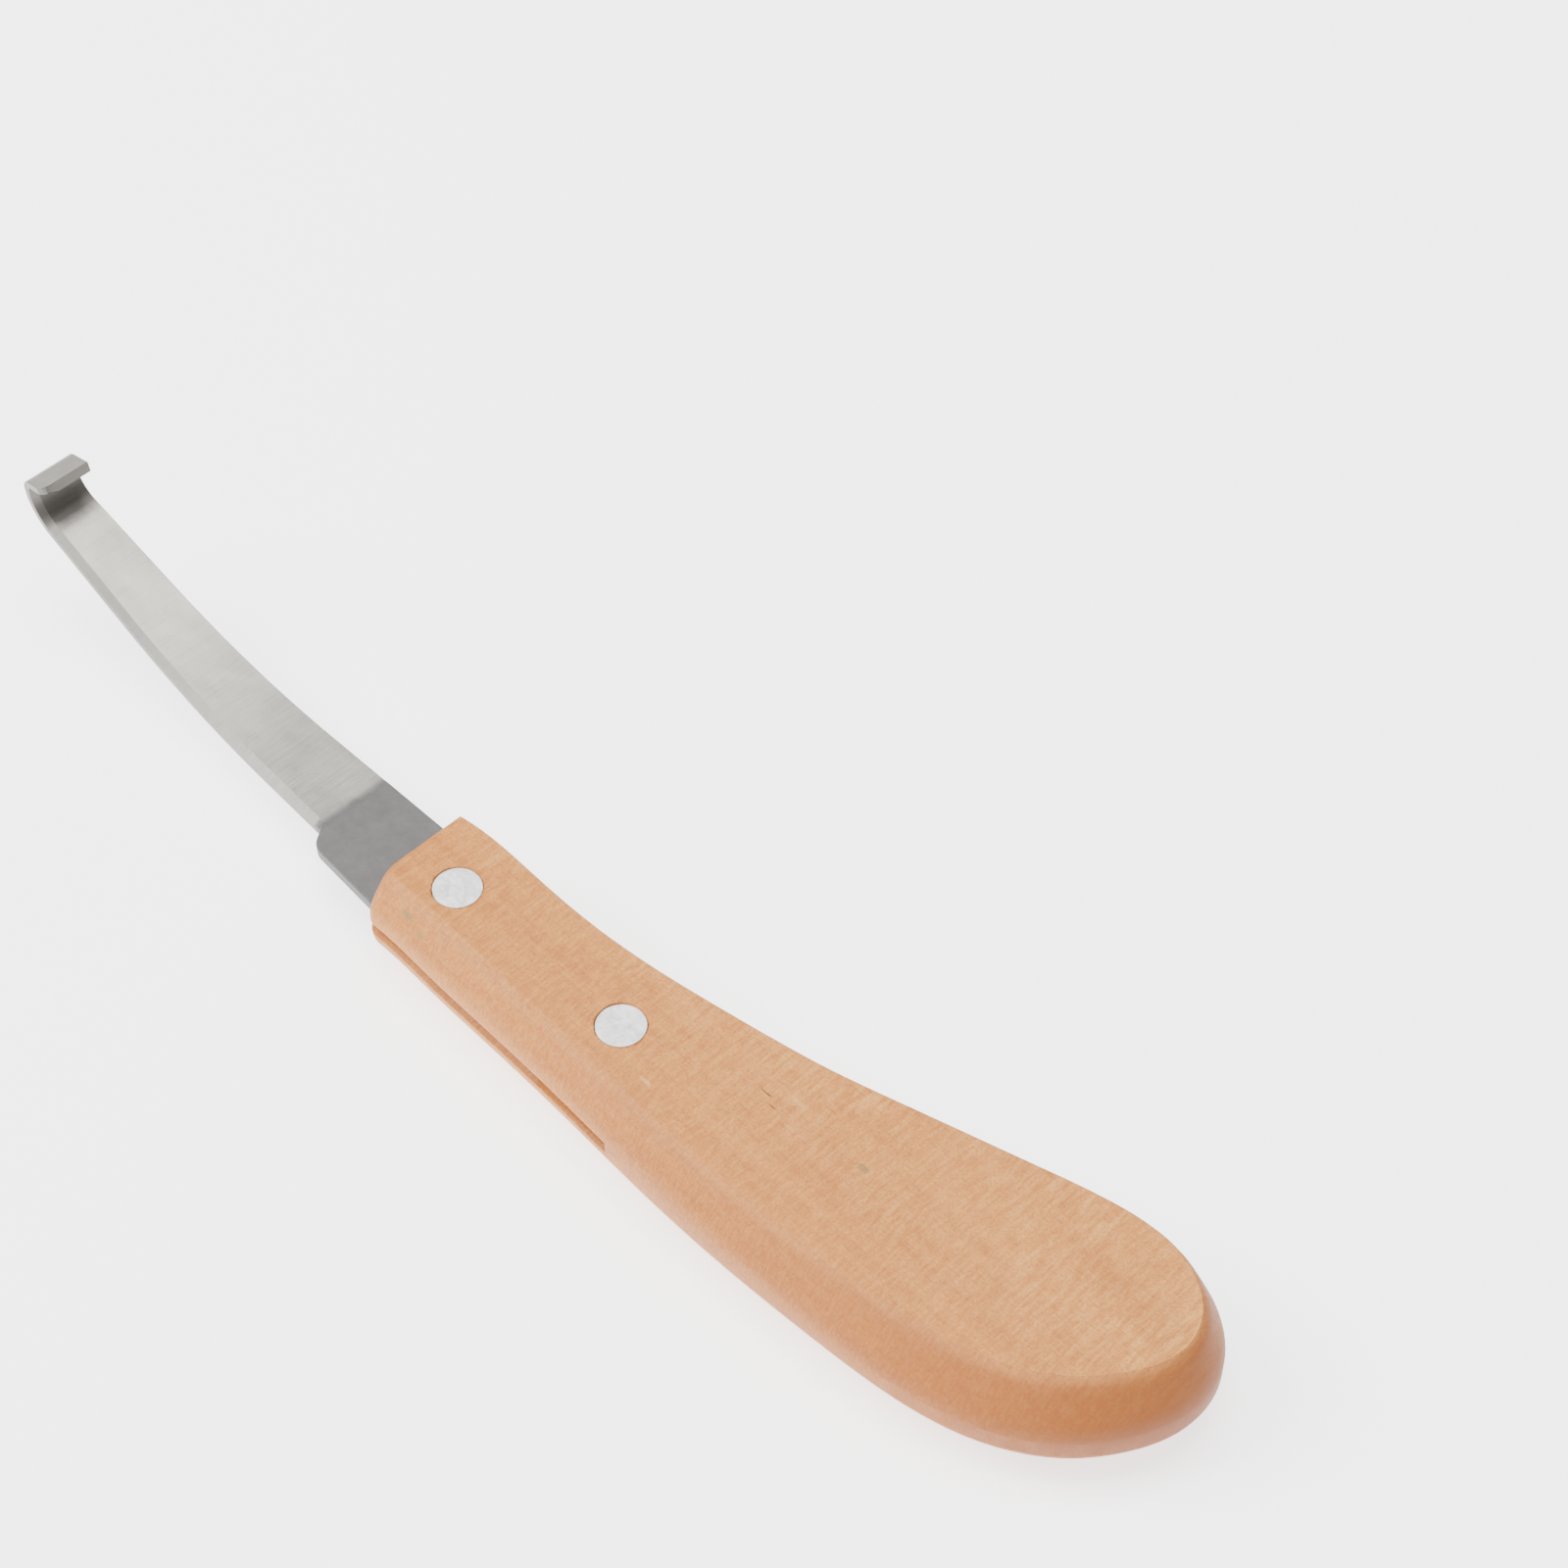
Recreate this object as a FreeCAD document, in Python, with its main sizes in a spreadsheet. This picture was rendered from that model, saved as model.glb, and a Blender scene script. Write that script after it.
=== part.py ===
import FreeCAD, Part

import Sketcher

import math
import os

# Farrier's hoof knife, lying on the flat underside of its handle.
#
# Working frame: X from butt to tip, Y towards the cutting edge, Z up, with the
# origin on the axis of the rear rivet, half way up the handle. Each piece is
# then placed by frame_x, frame_y and half the handle's thickness, so that the
# document's origin lies on the rest plane under the middle of the knife.

os.makedirs("parts", exist_ok=True)

doc = FreeCAD.newDocument("hoof_knife")

SIZES = {
    # length of a tool that passes right through the knife, and how far a tool
    # or a hidden overlap runs past the face it starts from
    "tool_length": 100.0,
    "overlap": 1.0,
    # where the working frame stands in the knife's own frame
    "frame_x": -19.58,
    "frame_y": 7.53,
    # handle
    "handle_thick": 15.0,
    "handle_front": 42.3,
    "kerf_gap": 0.1,
    "kerf_end": -8.8,
    # tang and ricasso
    "tang_thick": 1.9,
    "tang_end": -7.6,
    "tang_right": -8.3,
    "tang_left_rear": 9.3,
    "tang_left_front": 7.4,
    "ricasso_right": -8.75,
    "ricasso_left": 6.3,
    "ricasso_end": 58.8,
    "shoulder_slant": 1.6,
    "shoulder_round": 3.2,
    # ground blade and hook
    "blade_thick": 1.75,
    "blade_root_left": 3.7,
    "blade_tip_left": -0.5,
    "blade_reach": 131.0,
    "bend_start": 72.0,
    "bend_radius": 120.0,
    "bend_angle": 17.0,
    "straight_run": 18.2,
    "hook_radius": 5.9,
    "fold_radius": 1.5,
    "fold_angle": 166.0,
    "lip_run": 3.5,
    "lip_round": 1.3,
    "bevel_wide": 1.25,
    "bevel_deep": 0.55,
    # two-part rivets
    "rivet_pitch": 32.9,
    "head_dia": 7.0,
    "head_deep": 1.8,
    "recess_gap": 0.05,
    "socket_dia": 4.2,
    "socket_short": 0.6,
    "bore_dia": 2.8,
    "bore_floor": 1.2,
    "pin_dia": 2.7,
    "pin_short": 1.5,
}

sheet = doc.addObject("Spreadsheet::Sheet", "sizes")
for row, (alias, number) in enumerate(SIZES.items(), start=1):
    sheet.set(f"A{row}", alias)
    sheet.set(f"B{row}", str(number))
    sheet.setAlias(f"B{row}", alias)
doc.recompute()


def size(alias):
    """The number in one cell of the sheet."""
    return float(sheet.get(alias))


def bind(item, expressions):
    """Bind properties of an object to expressions over the sheet."""
    for name, expression in expressions.items():
        item.setExpression(name, expression)


def place(item, label):
    """Name a finished piece and stand it in the knife's own frame."""
    item.Label = label
    bind(item, {
        "Placement.Base.x": "sizes.frame_x",
        "Placement.Base.y": "sizes.frame_y",
        "Placement.Base.z": "sizes.handle_thick / 2",
    })


# ---------------------------------------------------------------- handle

# Outline of the flat faces, from the front right corner round the butt to the
# front left corner: x, y, how far the side bulges past it at mid height, and
# how round the edge is (0 a crisp edge, 1 nearly a full round).
HANDLE_OUTLINE = [
    (42.3, -8.75, 0.35, 0.2),
    (26.2, -9.0, 0.35, 0.2),
    (12.2, -9.0, 0.4, 0.2),
    (1.8, -10.0, 0.5, 0.2),
    (-10.5, -11.9, 0.6, 0.2),
    (-24.5, -14.6, 0.7, 0.2),
    (-38.5, -18.4, 0.8, 0.2),
    (-52.5, -22.3, 0.9, 0.2),
    (-63.0, -25.1, 0.9, 0.2),
    (-70.0, -26.2, 1.0, 0.2),
    (-75.3, -25.9, 1.6, 0.2),
    (-80.1, -24.1, 2.5, 0.2),
    (-83.3, -21.4, 3.3, 0.2),
    (-85.1, -17.6, 4.2, 0.2),
    (-84.9, -13.1, 5.1, 0.2),
    (-82.3, -7.9, 5.9, 0.2),
    (-77.0, -2.0, 6.4, 0.2),
    (-70.0, 2.1, 6.5, 0.2),
    (-59.5, 5.0, 6.2, 0.2),
    (-47.2, 6.4, 5.7, 0.3),
    (-33.2, 7.1, 5.4, 0.5),
    (-17.5, 7.2, 5.0, 0.7),
    (0.0, 6.5, 4.6, 0.9),
    (14.0, 5.75, 4.75, 1.0),
    (28.0, 5.15, 4.9, 1.0),
    (42.3, 4.85, 4.9, 1.0),
]

# Heights of the sections, as shares of half the handle's thickness.
SECTION_RISES = [-1, -0.75, -0.5, -0.25, 0, 0.25, 0.5, 0.75, 1]


def bulge_share(rise, roundness):
    """Share of the side's bulge at a height given from 0 (middle) to 1 (face)."""
    return 1 - rise ** (2 + roundness)


def outward(index):
    """Unit vector square to the outline, pointing out of the handle."""
    before = HANDLE_OUTLINE[max(index - 1, 0)]
    after = HANDLE_OUTLINE[min(index + 1, len(HANDLE_OUTLINE) - 1)]
    along = FreeCAD.Vector(after[0] - before[0], after[1] - before[1], 0).normalize()
    return FreeCAD.Vector(-along.y, along.x, 0)


def handle_section(rise):
    """Points round the handle at one height, from front right to front left."""
    height = rise * size("handle_thick") / 2
    points = []
    for index, (along, across, bulge, roundness) in enumerate(HANDLE_OUTLINE):
        reach = bulge * bulge_share(abs(rise), roundness)
        points.append(FreeCAD.Vector(along, across, height) + outward(index) * reach)
    points[0].x = size("handle_front")
    points[-1].x = size("handle_front")
    return points


def closed_by_line(edge):
    """Flat face inside an open curve and the line that joins its ends."""
    first, last = edge.Vertexes[0].Point, edge.Vertexes[-1].Point
    return Part.Face(Part.Wire([edge, Part.LineSegment(last, first).toShape()]))


def handle_solid():
    """Solid inside one smooth skin round the sides and butt, and three flat faces."""
    skin = Part.BSplineSurface()
    skin.interpolate([handle_section(rise) for rise in SECTION_RISES])
    first_u, last_u, first_v, last_v = skin.bounds()
    flats = [closed_by_line(skin.uIso(u).toShape()) for u in (first_u, last_u)]
    right = skin.vIso(first_v).toShape()
    left = skin.vIso(last_v).toShape()
    rims = [
        Part.LineSegment(right.Vertexes[end].Point, left.Vertexes[end].Point).toShape()
        for end in (0, -1)
    ]
    front = Part.Face(Part.Wire(Part.sortEdges([right, left] + rims)[0]))
    shell = Part.makeShell([skin.toShape(), front] + flats)
    shell.sewShape()
    solid = Part.makeSolid(shell)
    if solid.Volume < 0:
        solid.reverse()
    return solid


def edges_where(shape, test):
    """Names of the edges of a shape that pass a test."""
    return [f"Edge{n}" for n, edge in enumerate(shape.Edges, start=1) if test(edge)]


blank = doc.addObject("Part::Feature", "handle_blank")
blank.Shape = handle_solid()

# Saw kerf for the tang, open at the front and along both sides. The tang lies
# on its lower face, and kerf_gap is left over it.
kerf = doc.addObject("Part::Box", "handle_kerf")
bind(kerf, {
    "Length": "sizes.handle_front - sizes.kerf_end + sizes.overlap",
    "Width": "sizes.tool_length",
    "Height": "sizes.tang_thick + sizes.kerf_gap",
    "Placement.Base.x": "sizes.kerf_end",
    "Placement.Base.y": "-sizes.tool_length / 2",
    "Placement.Base.z": "-sizes.tang_thick / 2",
})


def bored_cylinder(label, diameter, depth, along, bottom):
    """Upright cylinder on a rivet's axis."""
    cylinder = doc.addObject("Part::Cylinder", label)
    bind(cylinder, {
        "Radius": f"({diameter}) / 2",
        "Height": depth,
        "Placement.Base.x": along,
        "Placement.Base.z": bottom,
    })
    return cylinder


RIVETS = {"rear": "0", "front": "sizes.rivet_pitch"}

tools = [kerf]
for name, along in RIVETS.items():
    recess = "sizes.head_dia + 2 * sizes.recess_gap"
    half = "sizes.handle_thick / 2"
    tools.append(bored_cylinder(f"{name}_shank_hole", "sizes.socket_dia",
                                "sizes.handle_thick", along, f"-{half}"))
    tools.append(bored_cylinder(f"{name}_upper_recess", recess,
                                "sizes.head_deep + sizes.overlap", along, f"{half} - sizes.head_deep"))
    tools.append(bored_cylinder(f"{name}_lower_recess", recess,
                                "sizes.head_deep + sizes.overlap", along, f"-{half} - sizes.overlap"))

hollows = doc.addObject("Part::MultiFuse", "handle_hollows")
hollows.Shapes = tools

handle = doc.addObject("Part::Cut", "handle")
handle.Base = blank
handle.Tool = hollows
place(handle, "handle")
doc.recompute()


# ---------------------------------------------------------------- sketches

def origin_plane(body, role):
    """One of a body's own origin planes."""
    return next(plane for plane in body.Origin.OriginFeatures if plane.Role == role)


def new_sketch(body, name, role):
    """Sketch attached to one of its body's origin planes."""
    sketch = body.newObject("Sketcher::SketchObject", name)
    sketch.AttachmentSupport = [(origin_plane(body, role), "")]
    sketch.MapMode = "FlatFace"
    return sketch


def corner_sketch(body, name, role, corners):
    """Closed outline of straight lines, each corner held by two expressions."""
    sketch = new_sketch(body, name, role)
    places = [(value_of(across), value_of(up)) for across, up in corners]
    count = len(places)
    for index, (across, up) in enumerate(places):
        after = places[(index + 1) % count]
        start, end = FreeCAD.Vector(across, up, 0), FreeCAD.Vector(*after, 0)
        sketch.addGeometry(Part.LineSegment(start, end))
    for index in range(count):
        sketch.addConstraint(Sketcher.Constraint("Coincident", index, 2, (index + 1) % count, 1))
    for index, (across, up) in enumerate(corners):
        hold(sketch, "DistanceX", index, across)
        hold(sketch, "DistanceY", index, up)
    return sketch


def value_of(expression):
    """The number that an expression over the sheet gives now."""
    return float(sheet.evalExpression(expression))


def hold(sketch, kind, index, expression):
    """Hold one coordinate of a line's start to an expression over the sheet."""
    constraint = Sketcher.Constraint(kind, -1, 1, index, 1, value_of(expression))
    number = sketch.addConstraint(constraint)
    sketch.setExpression(f"Constraints[{number}]", expression)


# ---------------------------------------------------------------- blade

blade = doc.addObject("PartDesign::Body", "blade")

tang_outline = corner_sketch(blade, "tang_outline", "XY_Plane", [
    ("sizes.tang_end", "sizes.tang_right"),
    ("sizes.handle_front - sizes.overlap", "sizes.tang_right"),
    ("sizes.handle_front - sizes.overlap", "sizes.ricasso_right"),
    ("sizes.ricasso_end", "sizes.ricasso_right"),
    ("sizes.ricasso_end", "sizes.blade_root_left"),
    ("sizes.ricasso_end - sizes.shoulder_slant", "sizes.ricasso_left"),
    ("sizes.handle_front", "sizes.tang_left_front"),
    ("sizes.tang_end", "sizes.tang_left_rear"),
])
tang = blade.newObject("PartDesign::Pad", "tang")
tang.Profile = tang_outline
tang.Midplane = True
bind(tang, {"Length": "sizes.tang_thick"})
doc.recompute()


def arc_through(start, heading, turn, radius):
    """Left-turning arc from a point, and the point where it ends."""
    heading_out = heading + turn
    centre = start + FreeCAD.Vector(-math.sin(heading), math.cos(heading), 0) * radius
    circle = Part.Circle(centre, FreeCAD.Vector(0, 0, 1), radius)
    end = centre + FreeCAD.Vector(math.sin(heading_out), -math.cos(heading_out), 0) * radius
    return Part.ArcOfCircle(circle, heading - math.pi / 2, heading_out - math.pi / 2), end


def line_along(start, heading, length):
    """Straight line from a point, and the point where it ends."""
    end = start + FreeCAD.Vector(math.cos(heading), math.sin(heading), 0) * length
    return Part.LineSegment(start, end), end


# Middle of the steel seen from the side: straight out of the ricasso, a long
# gentle bend, a straight, the hook up to the vertical, the tight fold over it,
# and the short lip that points back towards the handle.
blade_path = new_sketch(blade, "blade_path", "XZ_Plane")
bend = math.radians(size("bend_angle"))
fold = math.radians(size("fold_angle"))
upright = math.pi / 2
root_x = size("ricasso_end") - size("overlap")
piece, point = line_along(FreeCAD.Vector(root_x, 0, 0), 0, size("bend_start") - root_x)
blade_path.addGeometry(piece)
piece, point = arc_through(point, 0, bend, size("bend_radius"))
blade_path.addGeometry(piece)
piece, point = line_along(point, bend, size("straight_run"))
blade_path.addGeometry(piece)
piece, point = arc_through(point, bend, upright - bend, size("hook_radius"))
blade_path.addGeometry(piece)
piece, point = arc_through(point, upright, fold - upright, size("fold_radius"))
blade_path.addGeometry(piece)
piece, point = line_along(point, fold, size("lip_run"))
blade_path.addGeometry(piece)

ROOT, BEND, RUN, HOOK, FOLD, LIP = range(6)
START, END, CENTRE = 1, 2, 3
for before in (ROOT, BEND, RUN, HOOK, FOLD):
    blade_path.addConstraint(Sketcher.Constraint("Tangent", before, END, before + 1, START))
blade_path.addConstraint(Sketcher.Constraint("Horizontal", ROOT))
blade_path.addConstraint(Sketcher.Constraint("Horizontal", HOOK, CENTRE, HOOK, END))
hold(blade_path, "DistanceX", ROOT, "sizes.ricasso_end - sizes.overlap")
hold(blade_path, "DistanceY", ROOT, "0")


def dimension(sketch, kind, geometry, expression):
    """Length, radius or angle of one piece of a sketch, held to an expression."""
    value = value_of(expression)
    if kind == "Angle":
        value = math.radians(value)
    number = sketch.addConstraint(Sketcher.Constraint(kind, geometry, value))
    sketch.setExpression(f"Constraints[{number}]", expression)


dimension(blade_path, "Distance", ROOT, "sizes.bend_start - sizes.ricasso_end + sizes.overlap")
dimension(blade_path, "Radius", BEND, "sizes.bend_radius")
dimension(blade_path, "Angle", RUN, "sizes.bend_angle")
dimension(blade_path, "Distance", RUN, "sizes.straight_run")
dimension(blade_path, "Radius", HOOK, "sizes.hook_radius")
dimension(blade_path, "Radius", FOLD, "sizes.fold_radius")
dimension(blade_path, "Angle", LIP, "sizes.fold_angle")
dimension(blade_path, "Distance", LIP, "sizes.lip_run")

blade_section = corner_sketch(blade, "blade_section", "YZ_Plane", [
    ("sizes.ricasso_right", "-sizes.blade_thick / 2"),
    ("sizes.blade_root_left", "-sizes.blade_thick / 2"),
    ("sizes.blade_root_left", "sizes.blade_thick / 2"),
    ("sizes.ricasso_right", "sizes.blade_thick / 2"),
])
bind(blade_section, {"AttachmentOffset.Base.z": "sizes.ricasso_end - sizes.overlap"})
doc.recompute()

strip = blade.newObject("PartDesign::AdditivePipe", "strip")
strip.Profile = blade_section
strip.Spine = (blade_path, [f"Edge{n}" for n in range(1, 7)])
strip.Mode = "Binormal"
strip.Binormal = FreeCAD.Vector(0, 1, 0)
doc.recompute()

taper_outline = corner_sketch(blade, "taper_outline", "XY_Plane", [
    ("sizes.ricasso_end", "sizes.blade_root_left"),
    ("sizes.blade_reach", "sizes.blade_tip_left"),
    ("sizes.blade_reach", "sizes.blade_root_left + sizes.overlap"),
    ("sizes.ricasso_end", "sizes.blade_root_left + sizes.overlap"),
])
taper = blade.newObject("PartDesign::Pocket", "taper")
taper.Profile = taper_outline
taper.Midplane = True
bind(taper, {"Length": "sizes.tool_length"})
doc.recompute()


def left_edge_at(along):
    """Y of the blade's cutting edge at a place along the knife."""
    share = (along - size("ricasso_end")) / (size("blade_reach") - size("ricasso_end"))
    return size("blade_root_left") + share * (size("blade_tip_left") - size("blade_root_left"))


def middle_of(edge):
    """Point half way along an edge."""
    return edge.valueAt((edge.FirstParameter + edge.LastParameter) / 2)


# A point in the hook's mouth: every face on the blade's hollow side faces it.
mouth = point + FreeCAD.Vector(0, -3, 0)
mouth = FreeCAD.Vector(mouth.x, 0, mouth.y)


def faces_mouth(face):
    """True on the hollow side of the strip."""
    first_u, last_u, first_v, last_v = face.ParameterRange
    u, v = (first_u + last_u) / 2, (first_v + last_v) / 2
    normal = face.normalAt(u, v)
    towards = mouth - face.valueAt(u, v)
    towards.y = 0
    return abs(normal.y) < 0.5 and towards.dot(normal) > 0


def is_cutting_edge(shape, edge):
    """True on the hollow side's edge along the blade's left side."""
    middle = middle_of(edge)
    if middle.x < size("ricasso_end") + 0.5 or abs(middle.y - left_edge_at(middle.x)) > 0.02:
        return False
    sides = shape.ancestorsOfType(edge, Part.Face)
    return any(faces_mouth(face) for face in sides) and edge.Length > 0.5 * size("blade_thick")


cutting = edges_where(taper.Shape, lambda edge: is_cutting_edge(taper.Shape, edge))
bevel = blade.newObject("PartDesign::Chamfer", "bevel")
bevel.Base = (taper, cutting)
bevel.ChamferType = "Two distances"
bind(bevel, {"Size": "sizes.bevel_wide", "Size2": "sizes.bevel_deep"})
doc.recompute()


def is_upright_at(edge, along, across, slack=0.3):
    """True on a short edge through the steel's thickness, near one corner."""
    middle = middle_of(edge)
    box = edge.BoundBox
    near = abs(middle.x - along) < slack and abs(middle.y - across) < slack
    return near and box.YLength < 0.05 and edge.Length < 2 * size("tang_thick")


def is_shoulder(edge):
    """True on the outer corner of the ricasso's shoulder."""
    along = size("ricasso_end") - size("shoulder_slant")
    return is_upright_at(edge, along, size("ricasso_left"))


def is_lip_corner(edge):
    """True on the left corner of the hook's free end."""
    middle = middle_of(edge)
    at_end = abs(middle.x - lip_end.x) < 0.6 and middle.z > lip_end.z - 1.2
    on_left = abs(middle.y - left_edge_at(middle.x)) < 0.1
    return at_end and on_left and edge.BoundBox.ZLength > 0.5


lip_end = FreeCAD.Vector(point.x, 0, point.y)

shoulder = blade.newObject("PartDesign::Fillet", "shoulder")
shoulder.Base = (bevel, edges_where(bevel.Shape, is_shoulder))
bind(shoulder, {"Radius": "sizes.shoulder_round"})
doc.recompute()

lip = blade.newObject("PartDesign::Fillet", "lip")
lip.Base = (shoulder, edges_where(shoulder.Shape, is_lip_corner))
bind(lip, {"Radius": "sizes.lip_round"})
doc.recompute()

rivet_circles = new_sketch(blade, "rivet_circles", "XY_Plane")
for along in RIVETS.values():
    centre = FreeCAD.Vector(value_of(along), 0, 0)
    circle = Part.Circle(centre, FreeCAD.Vector(0, 0, 1), size("socket_dia") / 2)
    number = rivet_circles.addGeometry(circle)
    radius = rivet_circles.addConstraint(
        Sketcher.Constraint("Radius", number, size("socket_dia") / 2))
    rivet_circles.setExpression(f"Constraints[{radius}]", "sizes.socket_dia / 2")
    for kind, place_text in (("DistanceX", along), ("DistanceY", "0")):
        held = rivet_circles.addConstraint(
            Sketcher.Constraint(kind, -1, 1, number, CENTRE, value_of(place_text)))
        rivet_circles.setExpression(f"Constraints[{held}]", place_text)
holes = blade.newObject("PartDesign::Pocket", "rivet_holes")
holes.Profile = rivet_circles
holes.Midplane = True
bind(holes, {"Length": "sizes.tool_length"})
place(blade, "blade")
doc.recompute()


# ---------------------------------------------------------------- rivets

def turned_piece(name, corners, along):
    """Piece turned about a rivet's axis from its half section."""
    body = doc.addObject("PartDesign::Body", name)
    half = corner_sketch(body, f"{name}_half", "XZ_Plane", corners)
    turned = body.newObject("PartDesign::Revolution", f"{name}_turned")
    turned.Profile = half
    turned.ReferenceAxis = (half, ["V_Axis"])
    turned.Angle = 360
    place(body, name)
    bind(body, {"Placement.Base.x": f"sizes.frame_x + {along}"})
    return body


FACE = "sizes.handle_thick / 2"
SEAT = "(sizes.handle_thick / 2 - sizes.head_deep)"

pieces = [handle, blade]
for name, along in RIVETS.items():
    # The male half goes in from above: a head with a solid pin.
    pieces.append(turned_piece(f"rivet_{name}_male", [
        ("0", f"-{SEAT} + sizes.pin_short"),
        ("sizes.pin_dia / 2", f"-{SEAT} + sizes.pin_short"),
        ("sizes.pin_dia / 2", SEAT),
        ("sizes.head_dia / 2", SEAT),
        ("sizes.head_dia / 2", FACE),
        ("0", FACE),
    ], along))
    # The female half comes from below: a head with a blind socket.
    pieces.append(turned_piece(f"rivet_{name}_female", [
        ("0", f"-{FACE}"),
        ("sizes.head_dia / 2", f"-{FACE}"),
        ("sizes.head_dia / 2", f"-{SEAT}"),
        ("sizes.socket_dia / 2", f"-{SEAT}"),
        ("sizes.socket_dia / 2", f"{SEAT} - sizes.socket_short"),
        ("sizes.bore_dia / 2", f"{SEAT} - sizes.socket_short"),
        ("sizes.bore_dia / 2", f"-{FACE} + sizes.bore_floor"),
        ("0", f"-{FACE} + sizes.bore_floor"),
    ], along))
doc.recompute()


# ---------------------------------------------------------------- checks and files

for item in doc.Objects:
    if "Invalid" in item.State or "Error" in item.State:
        raise RuntimeError(f"{item.Name} failed: {item.State}")
for piece in pieces:
    if piece.Shape.isNull() or not piece.Shape.isValid() or len(piece.Shape.Solids) != 1:
        raise RuntimeError(f"{piece.Label} is not one valid solid")

box = FreeCAD.BoundBox()
for piece in pieces:
    box.add(piece.Shape.BoundBox)
    piece.Shape.exportStep(f"parts/{piece.Label}.step")
    print(f"{piece.Label}: {piece.Shape.Volume:.1f} mm3")
print(f"overall {box.XLength:.2f} x {box.YLength:.2f} x {box.ZLength:.2f} mm,"
      f" centre {box.Center.x:.3f}, {box.Center.y:.3f}, bottom {box.ZMin:.3f}")
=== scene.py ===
import math

import bmesh
import bpy
from mathutils import Matrix, Vector, noise
from mathutils.bvhtree import BVHTree


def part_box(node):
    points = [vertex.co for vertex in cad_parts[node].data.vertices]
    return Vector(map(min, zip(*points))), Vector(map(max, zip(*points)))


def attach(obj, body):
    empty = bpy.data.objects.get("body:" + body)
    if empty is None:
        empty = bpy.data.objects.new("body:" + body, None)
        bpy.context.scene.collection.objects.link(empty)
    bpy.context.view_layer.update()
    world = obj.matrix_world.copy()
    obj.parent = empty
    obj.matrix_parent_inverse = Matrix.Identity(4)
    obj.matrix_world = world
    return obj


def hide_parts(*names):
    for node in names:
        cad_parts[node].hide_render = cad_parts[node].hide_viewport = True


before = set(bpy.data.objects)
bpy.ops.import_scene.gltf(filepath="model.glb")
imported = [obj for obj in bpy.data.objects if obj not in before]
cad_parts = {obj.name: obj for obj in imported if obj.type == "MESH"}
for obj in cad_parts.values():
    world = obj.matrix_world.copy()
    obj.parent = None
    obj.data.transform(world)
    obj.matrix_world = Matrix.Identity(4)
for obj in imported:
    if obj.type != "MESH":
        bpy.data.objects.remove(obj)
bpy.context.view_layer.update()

# Hoof knife lying on the flat underside of its handle. Sizes of its parts, and places
# given to knife_point, are in millimetres. A size multiplied by MM is in the frame's
# metres, and so are the other lengths in the materials and the studio.

MM = 0.001

# ------------------------------------------------------------------ places

HANDLE_LOW, HANDLE_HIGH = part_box("handle")
TOP = HANDLE_HIGH.z
MIDDLE = TOP / 2


def middle_of(node):
    """Middle of a CAD node's box."""
    low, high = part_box(node)
    return (low + high) / 2


REAR_RIVET = middle_of("rivet_rear_male")
FRONT_RIVET = middle_of("rivet_front_male")
HANDLE_FRONT = HANDLE_HIGH.x

# Handle, kerf and rivets, from the rear rivet's axis, half way up the handle.
KERF_END = -8.8
KERF_GAP = 0.1
RECESS_GAP = 0.13
HEAD_RADIUS = 3.5
HEAD_DEEP = 1.8
SHANK_RADIUS = 2.1
SHANK_GAP = 0.02
PIN_RADIUS = 1.35
PIN_SHORT = 1.5
SOCKET_SHORT = 0.6
BORE_RADIUS = 1.4
BORE_FLOOR = 1.2

# Steel, from the same place.
TANG_END = -7.6
TANG_THICK = 1.9
BLADE_THICK = 1.75
RIGHT_SIDE = -8.75
TANG_RIGHT = -8.3
TANG_LEFT_REAR = 9.3
TANG_LEFT_FRONT = 7.4
RICASSO_LEFT = 6.3
SHOULDER = 58.8
SHOULDER_SLANT = 1.6
BLADE_ROOT_LEFT = 3.7
BLADE_TIP_LEFT = -0.5
BLADE_REACH = 131.0
BEND_START = 72.0
BEND_RADIUS = 120.0
BEND_ANGLE = math.radians(17.0)
STRAIGHT_RUN = 18.2
HOOK_RADIUS = 5.9
FOLD_RADIUS = 1.5
FOLD_ANGLE = math.radians(166.0)
LIP_RUN = 3.5
LIP_ROUND = 1.5
BEVEL_WIDE = 1.25
BEVEL_DEEP = 0.55


def knife_point(along, across, up):
    """Point given from the rear rivet's axis, as a place in the frame."""
    return Vector((REAR_RIVET.x + along * MM, REAR_RIVET.y + across * MM, MIDDLE + up * MM))


# ------------------------------------------------------------------ mesh helpers

# Vertices closer than this, in metres, become one.
MERGE_DISTANCE = 1e-7


def new_object(name, mesh, material):
    """Object with one material, in the scene."""
    piece = bpy.data.objects.new(name, mesh)
    bpy.context.scene.collection.objects.link(piece)
    mesh.materials.append(material)
    return piece


def bridge_rings(mesh, rings, closed):
    """Quads between rings of vertices, each ring closed on itself or open."""
    for lower, upper in zip(rings, rings[1:]):
        count = len(lower)
        for index in range(count if closed else count - 1):
            after = (index + 1) % count
            mesh.faces.new((lower[index], lower[after], upper[after], upper[index]))


def finish_mesh(mesh, name, sharp_degrees):
    """Outward normals, smooth shading, and sharp edges above an angle."""
    bmesh.ops.remove_doubles(mesh, verts=mesh.verts, dist=MERGE_DISTANCE)
    bmesh.ops.recalc_face_normals(mesh, faces=mesh.faces)
    data = bpy.data.meshes.new(name)
    mesh.to_mesh(data)
    mesh.free()
    for face in data.polygons:
        face.use_smooth = True
    data.set_sharp_from_angle(angle=math.radians(sharp_degrees))
    return data


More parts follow.
